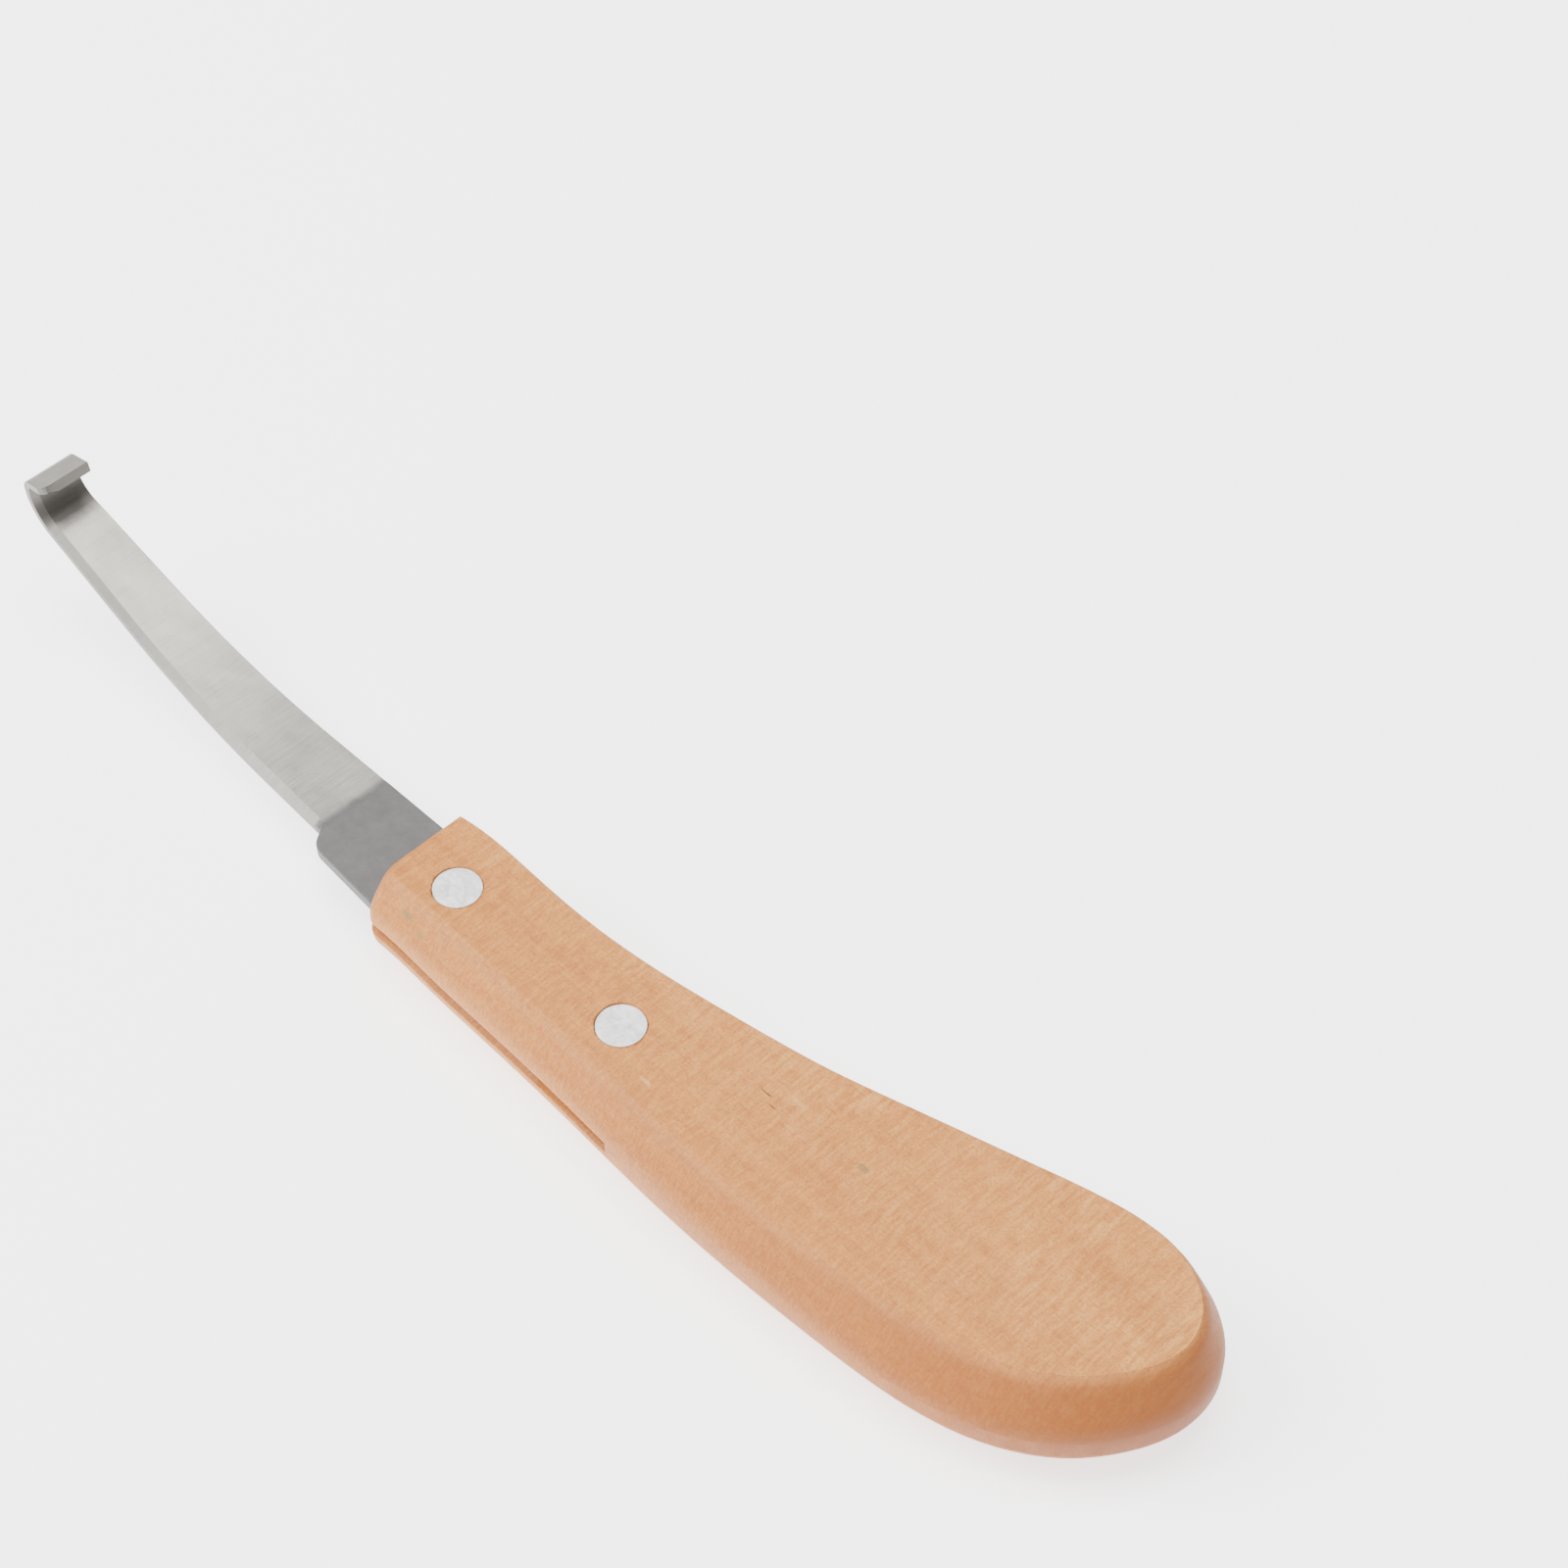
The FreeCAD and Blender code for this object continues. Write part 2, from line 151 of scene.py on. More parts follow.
def cut(piece, cutter):
    """Take one object's volume out of another, for good."""
    modifier = piece.modifiers.new("cut", "BOOLEAN")
    modifier.operation = "DIFFERENCE"
    modifier.solver = "EXACT"
    modifier.object = cutter
    bpy.context.view_layer.update()
    graph = bpy.context.evaluated_depsgraph_get()
    result = bpy.data.meshes.new_from_object(piece.evaluated_get(graph))
    piece.modifiers.remove(modifier)
    piece.data = result
    bpy.data.objects.remove(cutter)


def unit_noise(place):
    """Smooth noise from 0 to 1."""
    return noise.noise(place) * 0.5 + 0.5


def share_between(value, first, last):
    """How far a value has gone from one number to another, from 0 to 1."""
    return min(1.0, max(0.0, (value - first) / (last - first)))


LATHE_SHARP = 40


def lathe(name, profile, centre, material, steps):
    """Turned piece from (radius, height) pairs about an upright axis."""
    mesh = bmesh.new()
    rings = []
    for radius, height in profile:
        ring = []
        for step in range(steps):
            angle = 2 * math.pi * step / steps
            offset = Vector((math.cos(angle) * radius, math.sin(angle) * radius, height)) * MM
            ring.append(mesh.verts.new(Vector((centre.x, centre.y, 0)) + offset))
        rings.append(ring)
    bridge_rings(mesh, rings, True)
    for ring, (_, height) in ((rings[0], profile[0]), (rings[-1], profile[-1])):
        middle = mesh.verts.new(Vector((centre.x, centre.y, height * MM)))
        for index in range(steps):
            mesh.faces.new((ring[index], ring[(index + 1) % steps], middle))
    return new_object(name, finish_mesh(mesh, name, LATHE_SHARP), material)


# ------------------------------------------------------------------ material helpers

# Sockets of the colour mix node.
MIX_FACTOR, MIX_FIRST, MIX_SECOND, MIX_RESULT = 0, 6, 7, 2


class Graph:
    """Short names for building a material's nodes."""

    def __init__(self, name):
        self.material = bpy.data.materials.new(name)
        self.material.use_nodes = True
        self.tree = self.material.node_tree
        self.shader = self.tree.nodes["Principled BSDF"]
        self.place = self.tree.nodes.new("ShaderNodeTexCoord").outputs["Object"]

    def link(self, source, target):
        self.tree.links.new(source, target)

    def feed(self, value, socket):
        """Link an output to a socket, or set the socket to a number or colour."""
        if hasattr(value, "links"):
            self.link(value, socket)
        elif isinstance(value, tuple):
            socket.default_value = (*value, 1.0)
        else:
            socket.default_value = value

    def node(self, kind, **settings):
        made = self.tree.nodes.new(kind)
        for key, value in settings.items():
            setattr(made, key, value)
        return made

    def stretched(self, *scale, turn=0.0):
        """Object coordinates scaled along each axis, then turned about Z."""
        made = self.node("ShaderNodeMapping")
        made.inputs["Scale"].default_value = scale
        made.inputs["Rotation"].default_value = (0, 0, turn)
        self.link(self.place, made.inputs["Vector"])
        return made.outputs["Vector"]

    def noise(self, vector, scale, detail, rough=0.5, distortion=0.0):
        made = self.node("ShaderNodeTexNoise")
        made.inputs["Scale"].default_value = scale
        made.inputs["Detail"].default_value = detail
        made.inputs["Roughness"].default_value = rough
        made.inputs["Distortion"].default_value = distortion
        self.link(vector, made.inputs["Vector"])
        return made.outputs["Fac"]

    def ramp(self, factor, *stops):
        """Colours or greys at positions along a factor."""
        made = self.node("ShaderNodeValToRGB")
        elements = made.color_ramp.elements
        while len(elements) < len(stops):
            elements.new(0.5)
        for element, (position, tone) in zip(elements, stops):
            colour = tone if isinstance(tone, tuple) else (tone, tone, tone)
            element.position = position
            element.color = (*colour, 1.0)
        self.link(factor, made.inputs["Fac"])
        return made.outputs["Color"]

    def mix(self, factor, first, second, blend="MIX"):
        made = self.node("ShaderNodeMix", data_type="RGBA", blend_type=blend)
        self.feed(factor, made.inputs[MIX_FACTOR])
        self.feed(first, made.inputs[MIX_FIRST])
        self.feed(second, made.inputs[MIX_SECOND])
        return made.outputs[MIX_RESULT]

    def tinted(self, base, colour, mask, strength):
        """A colour laid over another where a mask is high."""
        return self.mix(self.times(mask, strength), base, colour)

    def toned(self, base, tone):
        """A colour multiplied by another."""
        return self.mix(1.0, base, tone, "MULTIPLY")

    def math(self, operation, *values):
        made = self.node("ShaderNodeMath", operation=operation)
        for value, socket in zip(values, made.inputs):
            self.feed(value, socket)
        return made.outputs[0]

    def times(self, first, second):
        return self.math("MULTIPLY", first, second)

    def plus(self, first, second):
        return self.math("ADD", first, second)

    def axis(self, name):
        """One coordinate of the place."""
        made = self.node("ShaderNodeSeparateXYZ")
        self.link(self.place, made.inputs[0])
        return made.outputs[name]

    def normal(self):
        """The surface normal's three parts."""
        shape = self.node("ShaderNodeNewGeometry")
        made = self.node("ShaderNodeSeparateXYZ")
        self.link(shape.outputs["Normal"], made.inputs[0])
        return made.outputs

    def between(self, value, first, last, least=0.0, most=1.0, kind="SMOOTHSTEP"):
        """A value's way from one number to another, as a share held within two limits."""
        made = self.node("ShaderNodeMapRange", interpolation_type=kind)
        made.inputs["From Min"].default_value = first
        made.inputs["From Max"].default_value = last
        made.inputs["To Min"].default_value = least
        made.inputs["To Max"].default_value = most
        self.link(value, made.inputs["Value"])
        return made.outputs["Result"]

    def spot(self, centre, radii, soft, wobble, wobble_scale):
        """1 inside an ellipsoid about a point and 0 outside, with a soft uneven edge."""
        moved = self.node("ShaderNodeVectorMath", operation="SUBTRACT")
        self.link(self.place, moved.inputs[0])
        moved.inputs[1].default_value = centre
        scaled = self.node("ShaderNodeVectorMath", operation="MULTIPLY")
        self.link(moved.outputs[0], scaled.inputs[0])
        scaled.inputs[1].default_value = [1 / radius for radius in radii]
        length = self.node("ShaderNodeVectorMath", operation="LENGTH")
        self.link(scaled.outputs[0], length.inputs[0])
        ripple = self.noise(self.place, wobble_scale, detail=3.0)
        distance = self.math("MULTIPLY_ADD", ripple, wobble, length.outputs["Value"])
        distance = self.math("SUBTRACT", distance, wobble * 0.5)
        return self.between(distance, 1.0, 1.0 - soft)

    def bump(self, height, strength, distance):
        made = self.node("ShaderNodeBump")
        made.inputs["Strength"].default_value = strength
        made.inputs["Distance"].default_value = distance
        self.link(height, made.inputs["Height"])
        self.link(made.outputs["Normal"], self.shader.inputs["Normal"])

    def finish(self, base, roughness):
        """Give the shader its colour and roughness."""
        self.link(base, self.shader.inputs["Base Color"])
        self.feed(roughness, self.shader.inputs["Roughness"])


# ------------------------------------------------------------------ wood

WOOD_TONE = (0.80, 0.485, 0.17)
RING_DARK = (0.56, 0.30, 0.13)
RING_PALE = (0.80, 0.51, 0.28)
STREAK_DARK = (0.54, 0.28, 0.12)
STREAK_PALE = (0.84, 0.56, 0.33)
FLASH_PALE = (0.98, 0.80, 0.62)
FINE_FLASH_PALE = (0.97, 0.76, 0.56)
PORE_DARK = (0.36, 0.17, 0.07)
END_GRAIN_AND_SHADE_DARK = (0.20, 0.078, 0.03)
SIDE_SHADE = (0.38, 0.17, 0.09)
SHADED_SAWN_DARK = (0.14, 0.06, 0.024)
SHADED_SAWN_PALE = (0.29, 0.13, 0.055)
SAW_MARK_DARK = (0.10, 0.045, 0.02)
GREY_GREEN = (0.22, 0.33, 0.36)
PALE_GREEN = (0.30, 0.36, 0.34)
GREY = (0.24, 0.30, 0.33)
RED = (0.80, 0.10, 0.12)
SCRATCH_WHITE = (1.00, 0.98, 0.95)
NICK_BROWN = (0.16, 0.07, 0.04)
RUBBED_WHITE = (1.00, 0.94, 0.88)

# Where the painted shade on the sides starts, going towards the butt, and where it is darkest.
SIDE_SHADE_FROM = 10
SIDE_SHADE_TO = -70

# Marks on the handle: place, size in metres, colour and strength.
HANDLE_MARKS = [
    (knife_point(35.0, 7.3, 5.6), (0.0018, 0.0006, 0.0025), GREY_GREEN, 0.65),
    (knife_point(31.5, 8.0, 4.6), (0.0013, 0.0006, 0.0025), PALE_GREEN, 0.45),
    (knife_point(-38.6, -6.6, 7.4), (0.0013, 0.0007, 0.002), GREY, 0.65),
    (knife_point(7.5, 7.6, 6.0), (0.0005, 0.0005, 0.002), RED, 0.75),
    (knife_point(-9.0, 3.9, 7.5), (0.0016, 0.0004, 0.002), SCRATCH_WHITE, 0.50),
    (knife_point(-21.5, -6.0, 7.5), (0.0014, 0.00018, 0.002), NICK_BROWN, 0.90),
    (knife_point(-23.6, -5.0, 7.5), (0.0012, 0.00015, 0.002), NICK_BROWN, 0.80),
    (knife_point(-10.8, 11.7, 0.4), (0.0013, 0.0020, 0.00022), NICK_BROWN, 0.90),
    (knife_point(-25.5, -7.8, 7.5), (0.0020, 0.0006, 0.002), RUBBED_WHITE, 0.35),
]


def cross_figure(g, base, ripple):
    """Curly figure: short pale ripples square to the grain, strongest on the right."""
    fine = g.noise(g.stretched(900, 170, 300, turn=-0.2), scale=3.0, detail=2.0)
    patch = g.noise(g.stretched(30, 60, 40), scale=2.0, detail=2.0)
    to_right = g.between(g.axis("Y"), HANDLE_HIGH.y, HANDLE_LOW.y * 0.7)
    amount = g.times(to_right, g.ramp(patch, (0.3, 0.25), (0.6, 1.0)))
    flash = g.times(g.ramp(ripple, (0.42, 0.0), (0.66, 1.0)), amount)
    base = g.tinted(base, FLASH_PALE, flash, 0.85)
    return g.tinted(base, FINE_FLASH_PALE, g.ramp(fine, (0.42, 0.0), (0.66, 1.0)), 0.40)


def end_grain_and_side_shade(g, base):
    """End grain darker than the flat faces and deepened with painted shade, and painted shade on the
    sides, most by the butt.
    """
    facing = g.normal()
    # End grain is darker, and this also paints shade on the butt end, which faces away from the light.
    end_grain_and_shade = g.ramp(g.math("ABSOLUTE", facing["X"]), (0.25, 0.0), (0.95, 1.0))
    base = g.tinted(base, END_GRAIN_AND_SHADE_DARK, end_grain_and_shade, 0.88)
    # Painted shade on the sides, which face away from the light above, growing towards the butt.
    side = g.ramp(g.math("ABSOLUTE", facing["Z"]), (0.86, 1.0), (0.985, 0.0))
    start, end = knife_point(SIDE_SHADE_FROM, 0, 0).x, knife_point(SIDE_SHADE_TO, 0, 0).x
    shade_to_butt = g.between(g.axis("X"), start, end, least=0.10, most=0.62, kind="LINEAR")
    return g.mix(g.times(side, shade_to_butt), base, SIDE_SHADE)


def wood_material():
    """Pale hardwood: growth rings, streaks, cross figure, pores, a few marks, and painted shade on its
    ends and sides.
    """
    g = Graph("maple_wood")
    rings = g.noise(g.stretched(5, 60, 40, turn=0.06), 4.0, detail=3.0, rough=0.5, distortion=0.5)
    streaks = g.noise(g.stretched(10, 260, 160, turn=0.05), 4.0, detail=5.0, rough=0.6, distortion=0.3)
    fibres = g.noise(g.stretched(90, 1100, 900, turn=0.05), 5.0, detail=3.0, rough=0.6)
    ripple = g.noise(g.stretched(420, 70, 120, turn=-0.25), 3.2, detail=3.0, rough=0.6, distortion=0.4)
    speckle = g.noise(g.place, 2600.0, detail=2.0, rough=0.7)
    ring_tone = g.ramp(rings, (0.3, RING_DARK), (0.7, RING_PALE))
    streak_tone = g.ramp(streaks, (0.3, STREAK_DARK), (0.72, STREAK_PALE))
    base = cross_figure(g, g.mix(0.5, ring_tone, streak_tone), ripple)
    base = g.tinted(base, PORE_DARK, g.ramp(fibres, (0.28, 1.0), (0.42, 0.0)), 0.55)
    base = g.mix(g.ramp(speckle, (0.34, 0.40), (0.56, 0.0)), base, PORE_DARK)
    base = end_grain_and_side_shade(g, base)
    for place, radii, colour, strength in HANDLE_MARKS:
        mark = g.spot(place, radii, soft=0.7, wobble=0.9, wobble_scale=1500.0)
        base = g.tinted(base, colour, mark, strength)
    g.finish(g.toned(base, WOOD_TONE), g.ramp(streaks, (0.2, 0.5), (0.8, 0.62)))
    g.shader.inputs["Specular IOR Level"].default_value = 0.35
    height = g.plus(g.times(fibres, 0.6), g.times(speckle, 0.5))
    g.bump(g.plus(height, g.times(ripple, 0.5)), strength=0.5, distance=0.00012)
    return g.material


def kerf_shade_material():
    """Sawn wood inside the kerf and the rivet holes, darkened with painted shade of the narrow slot."""
    g = Graph("sawn_wood_painted_shade")
    fibres = g.noise(g.stretched(140, 700, 900), 5.0, detail=4.0, rough=0.6)
    marks = g.noise(g.stretched(500, 40, 60), 5.0, detail=3.0, rough=0.6)
    # Very dark tones: painted shade inside the kerf and holes, laid over the sawn wood's colour.
    base = g.ramp(fibres, (0.3, SHADED_SAWN_DARK), (0.7, SHADED_SAWN_PALE))
    g.finish(g.tinted(base, SAW_MARK_DARK, marks, 0.4), 0.8)
    g.bump(g.plus(fibres, marks), strength=0.5, distance=0.0001)
    return g.material


# ------------------------------------------------------------------ steel, aluminium, paper

GROUND_TONE = (0.65, 0.63, 0.595)
GROUND_DARK = (0.50, 0.485, 0.462)
GROUND_MID = (0.61, 0.592, 0.565)
GROUND_PALE = (0.69, 0.672, 0.645)
SCRATCH_PALE = (0.86, 0.84, 0.81)
GRIND_LINE_DARK = (0.34, 0.33, 0.315)
DULL_TONE = (0.50, 0.49, 0.49)
DULL_DARK = (0.255, 0.245, 0.243)
DULL_PALE = (0.325, 0.313, 0.31)
PIT_PALE = (0.62, 0.61, 0.60)
HOOK_SHADE = (0.10, 0.097, 0.094)
BEVEL_SHADE = (0.24, 0.235, 0.23)
METAL_DARK = (0.66, 0.655, 0.65)
METAL_PALE = (1.0, 0.99, 0.99)
METAL_SCRATCH = (0.60, 0.595, 0.59)
PAPER_GLOW = 2.2

# The grind starts a little past the shoulder and fades in, along an uneven line.
GRIND_SETBACK = 0.0007
GRIND_FADE = 0.0022
GRIND_WAVER = 0.0012

# Painted shade in the hook, where the inside of the curl is in shadow.
HOOK_SHADE_CENTRE = knife_point(125.3, -4.0, 17.2)
HOOK_SHADE_RADII = (0.0082, 0.03, 0.0072)


def ground_share(g):
    """0 on the dull ricasso and tang, and 1 on the ground blade."""
    waver = g.times(g.noise(g.stretched(40, 110, 60), 3.0, detail=2.0), GRIND_WAVER)
    start = knife_point(SHOULDER, 0, 0).x + GRIND_SETBACK
    past = g.math("SUBTRACT", g.plus(g.axis("X"), waver), start)
    return g.between(past, 0.0, GRIND_FADE)


def ground_colour(g, scratch, long_lines):
    """Clouded satin steel with crosswise lines, with painted shade inside the hook and on the left-facing
    bevel.
    """
    cloud = g.noise(g.stretched(45, 90, 90), 2.4, detail=4.0, rough=0.55, distortion=0.4)
    base = g.ramp(cloud, (0.30, GROUND_DARK), (0.52, GROUND_MID), (0.72, GROUND_PALE))
    base = g.tinted(base, SCRATCH_PALE, scratch, 0.38)
    base = g.tinted(base, GRIND_LINE_DARK, g.ramp(long_lines, (0.33, 1.0), (0.5, 0.0)), 0.22)
    facing = g.normal()
    # Painted shade inside the curl of the hook, on faces turned back towards the handle.
    hook = g.spot(HOOK_SHADE_CENTRE, HOOK_SHADE_RADII, soft=0.22, wobble=0.16, wobble_scale=500.0)
    hollow = g.ramp(g.times(facing["X"], -1.0), (0.12, 0.0), (0.34, 1.0))
    base = g.tinted(base, HOOK_SHADE, g.times(hook, hollow), 0.88)
    # Painted shade on the bevel and the left edge, the faces turned to the left.
    return g.tinted(base, BEVEL_SHADE, g.ramp(facing["Y"], (0.15, 0.0), (0.38, 1.0)), 0.85)


def steel_material():
    """Steel that is dull at the ricasso and ground crosswise along the blade."""
    g = Graph("ground_steel")
    lines = g.noise(g.stretched(2600, 110, 150, turn=0.10), 2.0, detail=5.0, rough=0.65, distortion=0.1)
    long_lines = g.noise(g.stretched(900, 30, 60, turn=-0.05), 2.0, detail=4.0, rough=0.6, distortion=0.2)
    scratch = g.ramp(lines, (0.35, 0.0), (0.65, 1.0))
    mottled = g.noise(g.place, 420.0, detail=6.0, rough=0.65)
    speck = g.noise(g.place, 1400.0, detail=3.0, rough=0.7)
    dull = g.ramp(mottled, (0.3, DULL_DARK), (0.7, DULL_PALE))
    dull = g.tinted(dull, PIT_PALE, g.ramp(speck, (0.68, 0.0), (0.78, 1.0)), 0.35)
    ground = g.toned(ground_colour(g, scratch, long_lines), GROUND_TONE)
    share = ground_share(g)
    rest = g.math("SUBTRACT", 1.0, share)
    smoothness = g.times(share, g.math("MULTIPLY_ADD", scratch, 0.10, 0.40))
    g.finish(g.mix(share, g.toned(dull, DULL_TONE), ground), g.plus(smoothness, g.times(rest, 0.58)))
    g.link(g.math("MULTIPLY_ADD", share, 0.1, 0.75), g.shader.inputs["Metallic"])
    height = g.times(share, g.plus(lines, g.times(long_lines, 0.6)))
    grit = g.times(rest, g.times(mottled, 0.9))
    g.bump(g.plus(height, grit), strength=0.4, distance=0.00006)
    return g.material


def rivet_material():
    """Sanded aluminium with crossing scratches."""
    g = Graph("sanded_aluminium")
    scratches = g.noise(g.stretched(180, 1500, 400, turn=0.9), 3.0, detail=5.0, rough=0.65, distortion=0.3)
    others = g.noise(g.stretched(1500, 160, 400, turn=0.35), 3.0, detail=4.0, rough=0.6, distortion=0.3)
    smear = g.noise(g.place, 520.0, detail=4.0, rough=0.6, distortion=1.2)
    base = g.ramp(smear, (0.34, METAL_DARK), (0.62, METAL_PALE))
    base = g.mix(g.ramp(scratches, (0.34, 0.65), (0.52, 0.0)), base, METAL_SCRATCH)
    g.finish(base, g.math("MULTIPLY_ADD", smear, 0.2, 0.42))
    g.shader.inputs["Metallic"].default_value = 0.35
    height = g.plus(scratches, g.plus(others, g.times(smear, 1.5)))
    g.bump(height, strength=0.35, distance=0.00008)
    return g.material


def floor_material():
    """White paper that glows, like a light table."""
    g = Graph("white_paper")
    tooth = g.noise(g.place, 900.0, detail=3.0)
    g.finish(g.ramp(tooth, (0.3, 0.97), (0.7, 0.98)), 0.9)
    g.shader.inputs["Specular IOR Level"].default_value = 0.1
    g.shader.inputs["Emission Color"].default_value = (1.0, 1.0, 1.0, 1.0)
    g.shader.inputs["Emission Strength"].default_value = PAPER_GLOW
    return g.material


# ------------------------------------------------------------------ handle

EDGE_ROUND = 0.14 * MM
CORNER_ROUND = 2.2 * MM
LINE_INSET = 0.04 * MM
LINE_DEEP = 0.06 * MM
CAST_DEEP = 0.04 * MM
SIDE_MARGIN = 0.3 * MM
KERF_MARGIN = 0.05
FRONT_SETBACK = 0.01 * MM
FAR_OUT = 60 * MM
HANDLE_SHARP = 16

# The line inside the handle from which its outline is met.
SPINE_FRONT_ACROSS = -1.8
BUTT_ALONG = -72.0
BUTT_ACROSS = -12.0
BUTT_CENTRE = knife_point(BUTT_ALONG, BUTT_ACROSS, 0)

# How finely the handle is divided: short steps by the front, then longer ones.
FINE_STEP = 0.12
FINE_STATIONS = 20
STATION_STEP = 0.6 * MM
FIRST_COARSE = 4
FAN_STEPS = 110
ACROSS_STEPS = 36
SIDE_STEPS = 30
FADE_STEPS = 3

# Hand sanding: scale of the waves' noise and their depth.
WAVE_SCALE, WAVE_DEEP = 90, 0.05
RIPPLE_SCALE, RIPPLE_DEEP = 420, 0.02
FLAT_SCALE, FLAT_DEEP = 70, 0.04

# The saw kerf's cutter.
CUTTER_FRONT = 44.0
CUTTER_REACH = 40.0
CUTTER_CUTS = 40
CUTTER_SHARP = 30
SAW_SCALE, SAW_DEEP = 900, 0.06
ON_FACE = 0.001

RECESS_STEPS = 72
OVERSHOOT = 1.0


def spine_point(along):
    """Point well inside the handle at a place along it."""
    share = min(1.0, max(0.0, along / BUTT_ALONG))
    across = SPINE_FRONT_ACROSS + share * (BUTT_ACROSS - SPINE_FRONT_ACROSS)
    return knife_point(along, across, 0)


def handle_rays():
    """Points inside the handle, each with the way out: right side, butt, left side."""
    front = (HANDLE_FRONT - REAR_RIVET.x) / MM - EDGE_ROUND / MM
    count = round((front - BUTT_ALONG) * MM / STATION_STEP)
    stations = [front - FINE_STEP * step for step in range(FINE_STATIONS)]
    stations += [front + (BUTT_ALONG - front) * step / count for step in range(FIRST_COARSE, count)]
    right = [(spine_point(along), Vector((0, -1, 0))) for along in stations]
    left = [(spine_point(along), Vector((0, 1, 0))) for along in stations]
    fan = []
    for step in range(FAN_STEPS + 1):
        angle = math.pi * step / FAN_STEPS
        fan.append((BUTT_CENTRE, Vector((-math.sin(angle), -math.cos(angle), 0))))
    return right, fan, left


def skin_point(tree, ray, height):
    """Point on the CAD handle's outer skin, met from outside at one height."""
    inside, way = ray
    start = Vector((inside.x, inside.y, height)) + way * FAR_OUT
    place = tree.ray_cast(start, -way)[0]
    if place is None:
        raise ValueError(f"no skin at {inside} {height}")
    return place


def side_heights():
    """Heights of the side's rings, none of them in the saw kerf."""
    low, high = SIDE_MARGIN, TOP - SIDE_MARGIN
    heights = [low + (high - low) * step / SIDE_STEPS for step in range(SIDE_STEPS + 1)]
    clear = (TANG_THICK / 2 + KERF_GAP + KERF_MARGIN) * MM
    return [height for height in heights if abs(height - MIDDLE) > clear]


def softened(place, way, inset):
    """A skin point after rounding the front left corner and hand sanding."""
    moved = place - way * inset
    to_front = HANDLE_FRONT - place.x
    if way.y > 0.99 and to_front < CORNER_ROUND:
        run = CORNER_ROUND - to_front
        moved.y -= CORNER_ROUND - math.sqrt(CORNER_ROUND ** 2 - run ** 2)
    wave = unit_noise(moved * WAVE_SCALE)
    ripple = unit_noise(moved * RIPPLE_SCALE)
    return moved - way * (wave * WAVE_DEEP + ripple * RIPPLE_DEEP) * MM


def flat_dip(place, step, steps):
    """How far a flat face dips at a place, fading out by its rim."""
    dip = unit_noise(place * FLAT_SCALE) * FLAT_DEEP * MM
    return dip * min(1.0, step / FADE_STEPS, (steps - step) / FADE_STEPS)


def side_rings(mesh, rays):
    """Rings of vertices round the handle, from the top face's rim to the lower one's."""
    shape = bmesh.new()
    shape.from_mesh(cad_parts["handle"].data)
    tree = BVHTree.FromBMesh(shape)
    shape.free()
    levels = [(TOP - CAST_DEEP, TOP, EDGE_ROUND), (TOP - LINE_DEEP, TOP - LINE_DEEP, LINE_INSET)]
    levels += [(height, height, 0.0) for height in reversed(side_heights())]
    levels += [(LINE_DEEP, LINE_DEEP, LINE_INSET), (CAST_DEEP, 0.0, EDGE_ROUND)]
    rings = []
    for cast_at, stands_at, inset in levels:
        ring = []
        for ray in rays:
            place = softened(skin_point(tree, ray, cast_at), ray[1], inset)
            place.z = stands_at
            ring.append(mesh.verts.new(place))
        rings.append(ring)
    return rings


def row_between(mesh, first, last, dips):
    """Vertices from one rim to the other over a flat face."""
    row = [first]
    for step in range(1, ACROSS_STEPS):
        place = first.co.lerp(last.co, step / ACROSS_STEPS)
        place.z += dips * flat_dip(place, step, ACROSS_STEPS)
        row.append(mesh.verts.new(place))
    row.append(last)
    return row


def fill_fan(mesh, rim, row, dips):
    """Close the rounded butt's flat face, from its rim to the middle of the last row."""
    half = len(row) // 2
    centre = row[half]
    spokes = [row[:half + 1]]
    for vertex in rim[1:-1]:
        spoke = [vertex]
        for step in range(1, half):
            place = vertex.co.lerp(centre.co, step / half)
            place.z += dips * flat_dip(place, step, half)
            spoke.append(mesh.verts.new(place))
        spokes.append(spoke + [centre])
    spokes.append(row[half:][::-1])
    for before, after in zip(spokes, spokes[1:]):
        for step in range(half):
            corners = [before[step], before[step + 1], after[step + 1], after[step]]
            mesh.faces.new(list(dict.fromkeys(corners)))


def fill_front(mesh, rings, upper_row, lower_row):
    """Close the front end with a flat face and a small rounding round it."""
    rows = [upper_row]
    rows += [[ring[0], ring[-1]] for ring in rings[1:-1]]
    rows.append(lower_row)
    flat_rows = []
    for row in rows:
        first, last = row[0].co, row[-1].co
        flat = []
        for step in range(ACROSS_STEPS + 1):
            place = first.lerp(last, step / ACROSS_STEPS)
            place.x = HANDLE_FRONT - FRONT_SETBACK
            place.y = min(max(place.y, first.y + EDGE_ROUND), last.y - EDGE_ROUND)
            place.z = min(max(place.z, EDGE_ROUND), TOP - EDGE_ROUND)
            flat.append(mesh.verts.new(place))
        flat_rows.append(flat)
    bridge_rings(mesh, flat_rows, False)
    bridge_rings(mesh, [upper_row, flat_rows[0]], False)
    bridge_rings(mesh, [lower_row, flat_rows[-1]], False)
    for end in (0, -1):
        rim = [ring[end] for ring in rings]
        bridge_rings(mesh, [rim, [flat[end] for flat in flat_rows]], False)


